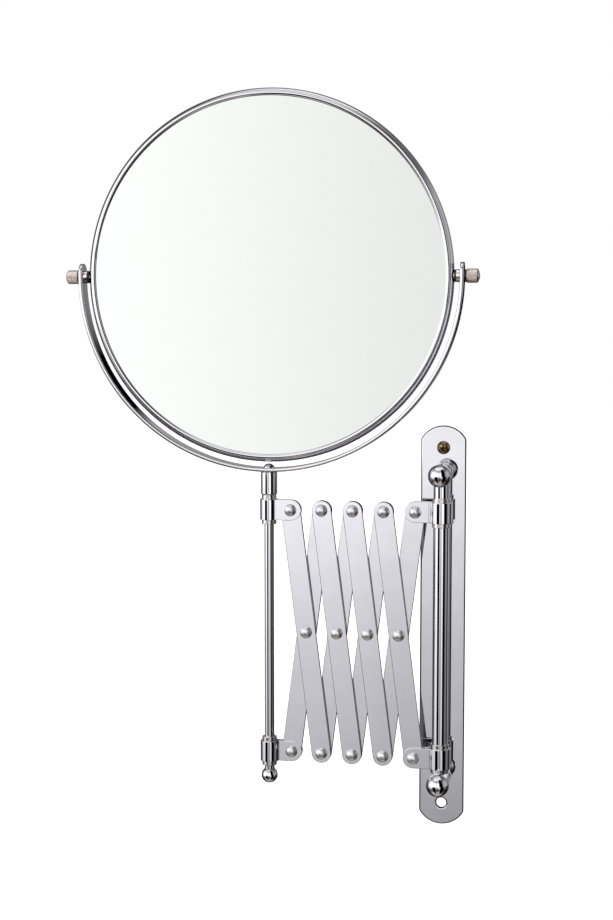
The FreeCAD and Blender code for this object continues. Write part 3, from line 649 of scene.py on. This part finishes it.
for piece in (head_placed, tail_placed, shank):
    rivet_tree.links.new(piece.outputs[0], whole.inputs[0])
facing = added(rivet_tree, "GeometryNodeTransform", Geometry=whole, Rotation=(math.pi / 2, 0, 0))
spread = added(rivet_tree, "GeometryNodeInstanceOnPoints", Points=given["Places"], Instance=facing)
real = added(rivet_tree, "GeometryNodeRealizeInstances", Geometry=spread)
painted = added(rivet_tree, "GeometryNodeSetMaterial", Geometry=real, Material=given["Finish"])
result = rivet_tree.nodes.new("NodeGroupOutput")
rivet_tree.links.new(painted.outputs[0], result.inputs[0])


def grown(name, places, tree, settings, finish):
    """Runs a node tree over a few points and keeps the result as a plain mesh."""
    seeds = bpy.data.meshes.new(name + "_seeds")
    seeds.from_pydata(places, [], [])
    holder = bpy.data.objects.new(name + "_holder", seeds)
    maker = holder.modifiers.new("maker", "NODES")
    maker.node_group = tree
    for socket, value in settings:
        maker[socket.identifier] = value
    bpy.context.scene.collection.objects.link(holder)
    bpy.context.view_layer.update()
    evaluated = holder.evaluated_get(bpy.context.evaluated_depsgraph_get())
    mesh = bpy.data.meshes.new_from_object(evaluated)
    bpy.data.objects.remove(holder)
    mesh.name = name
    mesh.shade_smooth()
    mesh.set_sharp_from_angle(angle=math.radians(38))
    return new_piece(name, mesh, finish)


def rivet_set(name, node, spots):
    low, high = box_mm(node)
    grip = (high.y - low.y) - RIVET_HEAD_HEIGHT - RIVET_TAIL_HEIGHT
    centre_y = low.y + RIVET_HEAD_HEIGHT + grip / 2
    places = [(x, centre_y, z) for x, z in spots]
    settings = [(grip_input, grip), (finish_input, rivet_satin)]
    return grown(name, places, rivet_tree, settings, rivet_satin)


for unit in range(1, UNITS + 1):
    outer_x = near_x - unit * pitch
    spots = [(outer_x + pitch / 2, (low_z + high_z) / 2)]
    if unit < UNITS:
        spots.append((outer_x, high_z))
    if unit > 1:
        spots.append((outer_x + pitch, low_z))
    node = "link_rivets_%d" % unit
    fitted(rivet_set(node + "_domed", node, spots), "front_link_%d" % unit, node)

# Clips: a chromed strap bent round a plain bushing, its two round-ended tabs gripping
# the last link and riveted through. The bushing slides and turns on the rod.
CLIP_SHEET = 1.0
CLIP_BEND = 1.6
CLIP_END_MARGIN = 6.0
CLIP_ROUNDING = 0.22
BORE_PLAY = 0.05
HEAD_ROD_RADIUS = 2.75
strap_chrome = polished_metal("strap_chrome", CHROME_TINT, 0.02, 0.15, 0.01, (1.0, 1.0, 0.2))
bushing_nickel = polished_metal("bushing_nickel", (0.62, 0.61, 0.60), 0.22, 0.7, 0.08, (0.1, 0.1, 1.0))


def ribbon(name, stations, thickness, rounding, finish):
    """Strip bent along a path. Each station is (centre, outward, sideways, half width)
    and gives a cross section with rounded corners."""
    strip = bmesh.new()
    sections = []
    for centre, outward, sideways, half_width in stations:
        half = thickness / 2
        corner = min(rounding, half_width * 0.45)
        loop = []
        for sign_side, sign_out, start in ((1, 1, 0), (-1, 1, 90), (-1, -1, 180), (1, -1, 270)):
            middle_side = sign_side * (half_width - corner)
            middle_out = sign_out * (half - rounding)
            spots = []
            for degrees in (0, 22.5, 45, 67.5, 90):
                angle = math.radians(start + degrees)
                level = middle_out + rounding * math.sin(angle)
                spots.append((middle_side + corner * math.cos(angle), level))
            inset = min(0.12, half_width * 0.2)
            if start in (0, 180):
                spots.append((spots[-1][0] - sign_side * inset, spots[-1][1]))
            else:
                spots.insert(0, (spots[0][0] - sign_side * inset, spots[0][1]))
            loop += spots
        sections.append([strip.verts.new(centre + sideways * side + outward * out) for side, out in loop])
    for first, second in zip(sections, sections[1:]):
        for number in range(len(first)):
            follower = (number + 1) % len(first)
            strip.faces.new((first[number], second[number], second[follower], first[follower]))
    strip.faces.new(sections[0])
    strip.faces.new(sections[-1])
    bmesh.ops.recalc_face_normals(strip, faces=strip.faces)
    mesh = bpy.data.meshes.new(name)
    strip.to_mesh(mesh)
    strip.free()
    mesh.shade_smooth()
    return new_piece(name, mesh, finish)


def straight(start, end, spots):
    """Points from start to end at the given shares of the way."""
    return [start.lerp(end, share) for share in spots]


def sweep(centre, start, end, steps):
    """Points round a centre from one point to another, the short way, without the ends."""
    first, last = start - centre, end - centre
    lean = math.atan2(first.x * last.y - first.y * last.x, first.dot(last))
    radius = first.length
    begin = math.atan2(first.y, first.x)
    return [
        centre + Vector((math.cos(begin + lean * n / steps), math.sin(begin + lean * n / steps))) * radius
        for n in range(1, steps)
    ]


def bent_strap(name, rod, rivet_node, strap_node, bushing_radius, finish):
    """The strap's middle line in plan: rear tab, round the bushing, front tab."""
    low, high = box_mm(strap_node)
    pivot = middle_mm(rivet_node)
    away = 1 if pivot.x > rod.x else -1
    clip_height = high.z - low.z
    rivet_low, rivet_high = box_mm(rivet_node)
    front_y = rivet_low.y + RIVET_HEAD_HEIGHT + 0.1 + CLIP_SHEET / 2 - rod.y
    rear_y = rivet_high.y - RIVET_TAIL_HEIGHT - 0.1 - CLIP_SHEET / 2 - rod.y
    radius = bushing_radius + 0.02 + CLIP_SHEET / 2
    reach = abs(pivot.x - rod.x) + CLIP_END_MARGIN
    tip = min(CLIP_END_MARGIN, clip_height / 2)
    shares = [math.sin(math.pi / 2 * n / 14) for n in range(15)]
    line = []
    for level in (rear_y, front_y):
        centre_y = level + math.copysign(CLIP_BEND, level)
        centre_x = math.sqrt((radius + CLIP_BEND)**2 - centre_y**2)
        centre = Vector((centre_x, centre_y))
        on_round = centre * (radius / (radius + CLIP_BEND))
        flat_end = Vector((centre_x, level))
        tab_end = Vector((reach - 0.02, level))
        round_start = Vector((reach - tip, level))
        tab = straight(tab_end, round_start, [1 - share for share in reversed(shares)])
        tab += straight(round_start, flat_end, [0.02, 0.5, 0.98, 1.0])
        tab += sweep(centre, flat_end, on_round, 8) + [on_round]
        line.append(tab)
    rear, front = line
    start_angle = math.atan2(rear[-1].y, rear[-1].x)
    end_angle = math.atan2(front[-1].y, front[-1].x)
    if end_angle < start_angle:
        end_angle += math.tau
    around = [
        Vector((math.cos(start_angle + (end_angle - start_angle) * n / 48),
                math.sin(start_angle + (end_angle - start_angle) * n / 48))) * radius
        for n in range(1, 48)
    ]
    path = rear + around + front[::-1]
    stations = []
    for number, spot in enumerate(path):
        before, after = path[max(number - 1, 0)], path[min(number + 1, len(path) - 1)]
        along = (after - before).normalized()
        outward = Vector((along.y, -along.x))
        half = clip_height / 2
        past = spot.x - (reach - tip)
        if past > 0 and (number < 20 or number > len(path) - 21):
            half = math.sqrt(max(tip**2 - past**2, 0.01))
        centre = Vector((rod.x + away * spot.x, rod.y + spot.y, pivot.z))
        stations.append((centre, Vector((away * outward.x, outward.y, 0)), Vector((0, 0, 1)), half))
    return ribbon(name, stations, CLIP_SHEET, CLIP_ROUNDING, finish)


for end, rod_radius in (("wall", wall_rod_radius), ("head", HEAD_ROD_RADIUS)):
    for which in ("lower", "upper"):
        body = "%s_%s_clip" % (which, end)
        rod = middle_mm(end + "_rod")
        bush_low, bush_high = box_mm(body + "_bushing")
        bush_radius = (bush_high.x - bush_low.x) / 2
        tall = bush_high.z - bush_low.z
        bore = rod_radius + BORE_PLAY
        bush = turned(
            body + "_bush", [(0, bore), (0, bush_radius), (tall, bush_radius), (tall, bore)],
            (rod.x, rod.y, bush_low.z), (0, 0, 1), bushing_nickel, 0.2, True,
        )
        fitted(bush, body, body + "_bushing")
        rivet_node = body + "_rivet"
        strap = bent_strap(
            body + "_bent_strap", rod, rivet_node, body + "_strap", bush_radius, strap_chrome,
        )
        fitted(strap, body, body + "_strap")
        spot = middle_mm(rivet_node)
        pin = rivet_set(rivet_node + "_domed", rivet_node, [(spot.x, spot.z)])
        fitted(pin, body, rivet_node)

# Head rod: a thin chromed rod with a ball finial screwed on below and a turned collar
# near the top, held to the yoke by a low domed nut.
FINIAL_NECK_RADIUS = 2.9
TENON_RADIUS = 1.8
YOKE_SHEET = 2.2
head_rod_low, head_rod_high = box_mm("head_rod")
head_rod_radius = (head_rod_high.x - head_rod_low.x) / 2
head_x, head_y, _ = middle_mm("head_rod")
finial_low, finial_high = box_mm("finial")
sleeve_low, sleeve_high = box_mm("head_sleeve")
yoke_low, yoke_high = box_mm("yoke")
nut_low, nut_high = box_mm("cap_nut")
rod_tenon = finial_high.z - head_rod_low.z
rod_shoulder = yoke_low.z - head_rod_low.z
rod_end = head_rod_high.z - head_rod_low.z
head_rod = turned(
    "chromed_head_rod",
    [(0, 0), (0, TENON_RADIUS), (rod_tenon, TENON_RADIUS), (rod_tenon, head_rod_radius),
     (rod_shoulder, head_rod_radius), (rod_shoulder, TENON_RADIUS), (rod_end, TENON_RADIUS), (rod_end, 0)],
    (head_x, head_y, head_rod_low.z), (0, 0, 1), turned_chrome, 0.15,
)
fitted(head_rod, "head", "head_rod")
sleeve_radius = (sleeve_high.x - sleeve_low.x) / 2
sleeve_tall = sleeve_high.z - sleeve_low.z
sleeve = turned(
    "turned_collar",
    [(0, head_rod_radius), (0, sleeve_radius - 0.4), (0.4, sleeve_radius),
     (sleeve_tall - 0.4, sleeve_radius), (sleeve_tall, sleeve_radius - 0.4), (sleeve_tall, head_rod_radius)],
    (head_x, head_y, sleeve_low.z), (0, 0, 1), turned_chrome, 0.12, True,
)
fitted(sleeve, "head", "head_sleeve")
finial_radius = (finial_high.x - finial_low.x) / 2
finial_top = finial_high.z - finial_low.z
meeting = math.degrees(math.asin(FINIAL_NECK_RADIUS / finial_radius))
finial_profile = [
    (finial_radius - x, y) for x, y in arc(0, 0, finial_radius, 0, 180 - meeting, 40)
]
finial_profile[0] = (0, 0)
finial_profile += [(finial_top, FINIAL_NECK_RADIUS), (finial_top, 0)]
finial = turned(
    "ball_finial", finial_profile, (head_x, head_y, finial_low.z), (0, 0, 1), turned_chrome, 0.15,
)
fitted(finial, "head", "finial")
nut_radius = (nut_high.x - nut_low.x) / 2
nut_rise = nut_high.z - yoke_low.z - YOKE_SHEET
nut_ball = (nut_radius**2 + nut_rise**2) / (2 * nut_rise)
nut_lean = math.degrees(math.asin(min(nut_radius / nut_ball, 1.0)))
nut_profile = [(0, 0), (0, nut_radius * 0.98)]
nut_profile += arc(nut_rise - nut_ball, 0, nut_ball, nut_lean, 0, 16)[1:-1] + [(nut_rise, 0)]
nut = turned(
    "domed_nut", nut_profile, (head_x, head_y, yoke_low.z + YOKE_SHEET), (0, 0, 1), turned_chrome, 0.1,
)
fitted(nut, "head", "cap_nut")

# Yoke: one strip of chromed steel bent to a half ring, with short upright ears whose
# ends are rounded. The mirror's studs pass through the ears.
YOKE_ROUNDING = 0.9
YOKE_STEPS = 256
yoke_chrome = polished_metal("yoke_chrome", CHROME_TINT, 0.015, 0.08, 0.01, (1.0, 0.1, 1.0))
yoke_middle = middle_mm("yoke")
yoke_radius = (yoke_high.x - yoke_low.x) / 2 - YOKE_SHEET / 2
mirror_z = yoke_low.z + (yoke_high.x - yoke_low.x) / 2
yoke_half = (yoke_high.y - yoke_low.y) / 2
ear = yoke_high.z - mirror_z
yoke_stations = []
ear_shares = [ear - yoke_half * (1 - math.sin(math.pi / 2 * n / 12)) for n in range(13)]
ear_heights = ear_shares[::-1] + [(ear - yoke_half) * 0.5]


def ear_half(level):
    past = level - (ear - yoke_half)
    return math.sqrt(max(yoke_half**2 - past**2, 0.01)) if past > 0 else yoke_half


for level in ear_heights:
    spot = Vector((yoke_middle.x - yoke_radius, yoke_middle.y, mirror_z + level - 0.005))
    yoke_stations.append((spot, Vector((-1, 0, 0)), Vector((0, 1, 0)), ear_half(level)))
for number in range(YOKE_STEPS + 1):
    angle = math.pi + math.pi * number / YOKE_STEPS
    out = Vector((math.cos(angle), 0, math.sin(angle)))
    spot = Vector((yoke_middle.x, yoke_middle.y, mirror_z)) + out * yoke_radius
    yoke_stations.append((spot, out, Vector((0, 1, 0)), yoke_half))
for level in reversed(ear_heights):
    spot = Vector((yoke_middle.x + yoke_radius, yoke_middle.y, mirror_z + level - 0.005))
    yoke_stations.append((spot, Vector((1, 0, 0)), Vector((0, 1, 0)), ear_half(level)))
yoke = ribbon("bent_yoke", yoke_stations, YOKE_SHEET, YOKE_ROUNDING, yoke_chrome)
fitted(yoke, "head", "yoke")

# Mirror ring: one chromed channel rolled round both glasses, with a bead on each face
# and a crowned band between them.
BEAD_RADIUS = 1.5
BAND_CROWN = 1.7
RING_WALL = 0.7
GROOVE = 0.5
ring_chrome = polished_metal("ring_chrome", CHROME_TINT, 0.015, 0.06, 0.01, (1.0, 0.1, 1.0))
ring_low, ring_high = box_mm("mirror_ring")
ring_radius = (ring_high.x - ring_low.x) / 2
ring_half = (ring_high.y - ring_low.y) / 2
view_radius = ring_radius - BAND_CROWN - 2 * BEAD_RADIUS
band_radius = view_radius + 2 * BEAD_RADIUS
glass_face = ring_half - BEAD_RADIUS
mirror_middle = middle_mm("mirror_ring")
crown_half = glass_face - GROOVE
crown_ball = (crown_half**2 + BAND_CROWN**2) / (2 * BAND_CROWN)
crown_lean = math.degrees(math.asin(crown_half / crown_ball))
ring_profile = arc(-glass_face, view_radius + BEAD_RADIUS, BEAD_RADIUS, 270, 90, 20)
ring_profile += arc(0, ring_radius - crown_ball, crown_ball, 90 + crown_lean, 90 - crown_lean, 24)
ring_profile += arc(glass_face, view_radius + BEAD_RADIUS, BEAD_RADIUS, 90, -90, 20)
ring_profile += [(glass_face, band_radius - RING_WALL), (-glass_face, band_radius - RING_WALL)]
ring = turned(
    "rolled_ring", ring_profile, tuple(mirror_middle), (0, 1, 0), ring_chrome, 0.08, True, 512,
)
fitted(ring, "mirror", "mirror_ring")

# Glasses: a flat plain mirror in front and a dished magnifying one behind, both
# silvered. A soft packing ring keeps them apart.
MAGNIFYING_SAG = 3.2
PLAIN_GLASS = 2.0
silvered = polished_metal("silvered_glass", (0.615, 0.635, 0.62), 0.008, 0.0, 0.004, deeper=0.995)
glass_low, glass_high = box_mm("plain_glass")
glass_radius = (glass_high.x - glass_low.x) / 2
plain = turned(
    "plain_mirror_glass",
    [(0, 0), (0, glass_radius), (glass_high.y - glass_low.y, glass_radius), (glass_high.y - glass_low.y, 0)],
    (mirror_middle.x, glass_low.y, mirror_middle.z), (0, 1, 0), silvered, 0.15, False, 192,
)
fitted(plain, "mirror", "plain_glass")
dish_low, dish_high = box_mm("magnifying_glass")
dish_ball = (glass_radius**2 + MAGNIFYING_SAG**2) / (2 * MAGNIFYING_SAG)
dish_lean = math.degrees(math.asin(glass_radius / dish_ball))
rear_edge = dish_high.y - mirror_middle.y
dish_centre = rear_edge - MAGNIFYING_SAG + dish_ball
dish_depth = dish_low.y - mirror_middle.y
outer_ball = dish_centre - dish_depth
outer_lean = math.degrees(math.asin(glass_radius / outer_ball))
dish_profile = [(dish_centre - x, y) for x, y in arc(0, 0, outer_ball, 0, outer_lean, 24)]
dish_profile += [(dish_centre - x, y) for x, y in arc(0, 0, dish_ball, dish_lean, 0, 24)]
dish_profile[0] = (dish_profile[0][0], 0)
dish_profile[-1] = (dish_profile[-1][0], 0)
dish = turned(
    "magnifying_mirror_glass", dish_profile, tuple(mirror_middle), (0, 1, 0), silvered, 0.1, False, 192,
)
fitted(dish, "mirror", "magnifying_glass")
foam, foam_tree, foam_shader, where = new_finish("packing_foam")
foam_cells = added(foam_tree, "ShaderNodeTexVoronoi", Scale=900.0, Vector=where)
foam_colour = graded(foam_tree, foam_cells.outputs["Distance"], [(0.0, 0.02), (0.8, 0.06)])
foam_tree.links.new(foam_colour, foam_shader.inputs["Base Color"])
foam_shader.inputs["Roughness"].default_value = 0.9
foam_bump = added(foam_tree, "ShaderNodeBump", Distance=0.0002, Height=foam_cells.outputs["Distance"])
foam_tree.links.new(foam_bump.outputs[0], foam_shader.inputs["Normal"])
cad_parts["packing_ring"].data.materials.clear()
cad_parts["packing_ring"].data.materials.append(foam)

# Mirror pivots: a steel stud in each side of the ring carries a nickel spacer, the
# yoke's ear and a black washer, and a knurled thumb nut clamps them.
KNOB_DOME = 1.2
KNOB_CHAMFER = 0.4
KNURL_STARTS = 22.0
KNURL_DEPTH = 0.26
STUD_RADIUS = 2.0
stud_steel = polished_metal("stud_steel", (0.55, 0.54, 0.53), 0.25, 0.6, 0.08)
knob_nickel = polished_metal("knob_nickel", (0.80, 0.71, 0.67), 0.20, 0.6, 0.08, (1.0, 1.0, 1.0), 0.1)
rubber, rubber_tree, rubber_shader, where = new_finish("black_washer")
rubber_grain = added(rubber_tree, "ShaderNodeTexNoise", Scale=1500.0, Detail=4.0, Vector=where)
rubber_colour = graded(rubber_tree, rubber_grain.outputs["Fac"], [(0.3, 0.008), (0.7, 0.02)])
rubber_tree.links.new(rubber_colour, rubber_shader.inputs["Base Color"])
rubber_uneven = maths(rubber_tree, "MULTIPLY", rubber_grain.outputs["Fac"], 0.2)
rubber_rough = maths(rubber_tree, "ADD", rubber_uneven, 0.45)
rubber_tree.links.new(rubber_rough, rubber_shader.inputs["Roughness"])
rubber_bump = added(rubber_tree, "ShaderNodeBump", Distance=0.00002, Height=rubber_grain.outputs["Fac"])
rubber_tree.links.new(rubber_bump.outputs[0], rubber_shader.inputs["Normal"])

knob_tree = bpy.data.node_groups.new("thumb_nut", "GeometryNodeTree")
tree_input(knob_tree, "Places", "NodeSocketGeometry")
knob_radius_input = tree_input(knob_tree, "Radius", "NodeSocketFloat", 4.0)
knob_length_input = tree_input(knob_tree, "Length", "NodeSocketFloat", 7.8)
for name, value in (
    ("Dome", KNOB_DOME), ("Chamfer", KNOB_CHAMFER),
    ("Knurl Starts", KNURL_STARTS), ("Knurl Depth", KNURL_DEPTH),
):
    tree_input(knob_tree, name, "NodeSocketFloat", value)
knob_turn_input = tree_input(knob_tree, "Facing", "NodeSocketFloat", 1.0)
knob_finish_input = tree_input(knob_tree, "Finish", "NodeSocketMaterial")
knob_tree.interface.new_socket("Nut", in_out="OUTPUT", socket_type="NodeSocketGeometry")
given = knob_tree.nodes.new("NodeGroupInput").outputs
around = 176


def worked(operation, first, second=0.0):
    return maths(knob_tree, operation, first, second)


barrel = worked("SUBTRACT", given["Length"], given["Dome"])
grid = added(knob_tree, "GeometryNodeMeshGrid", Size_X=1.0, Size_Y=1.0, Vertices_X=around + 1, Vertices_Y=61)
spot = added(knob_tree, "ShaderNodeSeparateXYZ", _0=knob_tree.nodes.new("GeometryNodeInputPosition"))
round_share = worked("ADD", spot.outputs[0], 0.5)
along_share = worked("ADD", spot.outputs[1], 0.5)
along = worked("MULTIPLY", along_share, barrel)
rolled = worked("MULTIPLY", round_share, given["Knurl Starts"])
girth = worked("MULTIPLY", given["Radius"], math.tau)
advance = worked("MULTIPLY", worked("DIVIDE", along, girth), given["Knurl Starts"])


def ridge(sign):
    """Height across one family of knurl grooves, 0 in the groove and 1 between."""
    crossing = worked(sign, rolled, advance)
    share = worked("FRACT", worked("ADD", crossing, 100.0))
    from_middle = worked("ABSOLUTE", worked("SUBTRACT", share, 0.5))
    slope = worked("SUBTRACT", 1.0, worked("MULTIPLY", from_middle, 2.0))
    return worked("MINIMUM", worked("MULTIPLY", slope, 1.7), 1.0)


pyramid = worked("MINIMUM", ridge("ADD"), ridge("SUBTRACT"))
near_end = worked("SUBTRACT", given["Chamfer"], along)
far_end = worked("ADD", worked("SUBTRACT", along, barrel), given["Chamfer"])
end_cut = worked("MAXIMUM", worked("MAXIMUM", near_end, far_end), 0.0)
fading = worked("DIVIDE", end_cut, given["Chamfer"])
sunk = worked("MULTIPLY", worked("SUBTRACT", 1.0, pyramid), given["Knurl Depth"])
sunk = worked("MULTIPLY", sunk, worked("SUBTRACT", 1.0, fading))
surface = worked("SUBTRACT", worked("SUBTRACT", given["Radius"], end_cut), sunk)
angle = worked("MULTIPLY", round_share, math.tau)
wrapped = added(
    knob_tree, "ShaderNodeCombineXYZ",
    X=worked("MULTIPLY", surface, worked("COSINE", angle)),
    Y=worked("MULTIPLY", surface, worked("SINE", angle)), Z=along,
)
knurled = added(knob_tree, "GeometryNodeSetPosition", Geometry=grid, Position=wrapped)
end_radius = worked("SUBTRACT", given["Radius"], given["Chamfer"])
end_cap = domed(knob_tree, end_radius, given["Dome"], around)
cap_lift = added(knob_tree, "ShaderNodeCombineXYZ", Z=barrel)
cap_placed = added(knob_tree, "GeometryNodeTransform", Geometry=end_cap, Translation=cap_lift)
back = added(knob_tree, "GeometryNodeMeshCircle", Vertices=around, Radius=end_radius)
back.fill_type = "NGON"
nut_whole = knob_tree.nodes.new("GeometryNodeJoinGeometry")
for part in (knurled, cap_placed, back):
    knob_tree.links.new(part.outputs[0], nut_whole.inputs[0])
nut_welded = added(knob_tree, "GeometryNodeMergeByDistance", Geometry=nut_whole, Distance=0.002)
nut_lean_turn = worked("MULTIPLY", given["Facing"], math.pi / 2)
nut_turn = added(knob_tree, "ShaderNodeCombineXYZ", Y=nut_lean_turn)
nut_faced = added(knob_tree, "GeometryNodeTransform", Geometry=nut_welded, Rotation=nut_turn)
nut_spread = added(knob_tree, "GeometryNodeInstanceOnPoints", Points=given["Places"], Instance=nut_faced)
nut_real = added(knob_tree, "GeometryNodeRealizeInstances", Geometry=nut_spread)
nut_painted = added(knob_tree, "GeometryNodeSetMaterial", Geometry=nut_real, Material=given["Finish"])
nut_result = knob_tree.nodes.new("NodeGroupOutput")
knob_tree.links.new(nut_painted.outputs[0], nut_result.inputs[0])

for side, out in (("left", -1), ("right", 1)):
    for kind, bore, finish, slot in (
        ("spacer", STUD_RADIUS + BORE_PLAY, knob_nickel, "nickel_knobs"),
        ("inner_washer", STUD_RADIUS + BORE_PLAY, rubber, "black_washers"),
        ("washer", STUD_RADIUS + BORE_PLAY, rubber, "black_washers"),
    ):
        node = "pivot_%s_%s" % (kind, side)
        low, high = box_mm(node)
        wide = high.x - low.x
        rim = (high.z - low.z) / 2
        tube = turned(
            node + "_turned", [(0, bore), (0, rim), (wide, rim), (wide, bore)],
            (low.x, mirror_middle.y, mirror_middle.z), (1, 0, 0), finish, 0.15, True, 64,
        )
        fitted(tube, "mirror", node)
    node = "pivot_stud_" + side
    low, high = box_mm(node)
    stud = turned(
        node + "_turned", [(0, 0), (0, STUD_RADIUS), (high.x - low.x, STUD_RADIUS), (high.x - low.x, 0)],
        (low.x, mirror_middle.y, mirror_middle.z), (1, 0, 0), stud_steel, 0.2, False, 48,
    )
    fitted(stud, "mirror", node)
    node = "knob_" + side
    low, high = box_mm(node)
    seat_x = low.x if out > 0 else high.x
    knob = grown(
        node + "_knurled", [(seat_x, mirror_middle.y, mirror_middle.z)], knob_tree,
        [(knob_radius_input, (high.z - low.z) / 2), (knob_length_input, high.x - low.x),
         (knob_turn_input, float(out)), (knob_finish_input, knob_nickel)], knob_nickel,
    )
    fitted(knob, node, node)
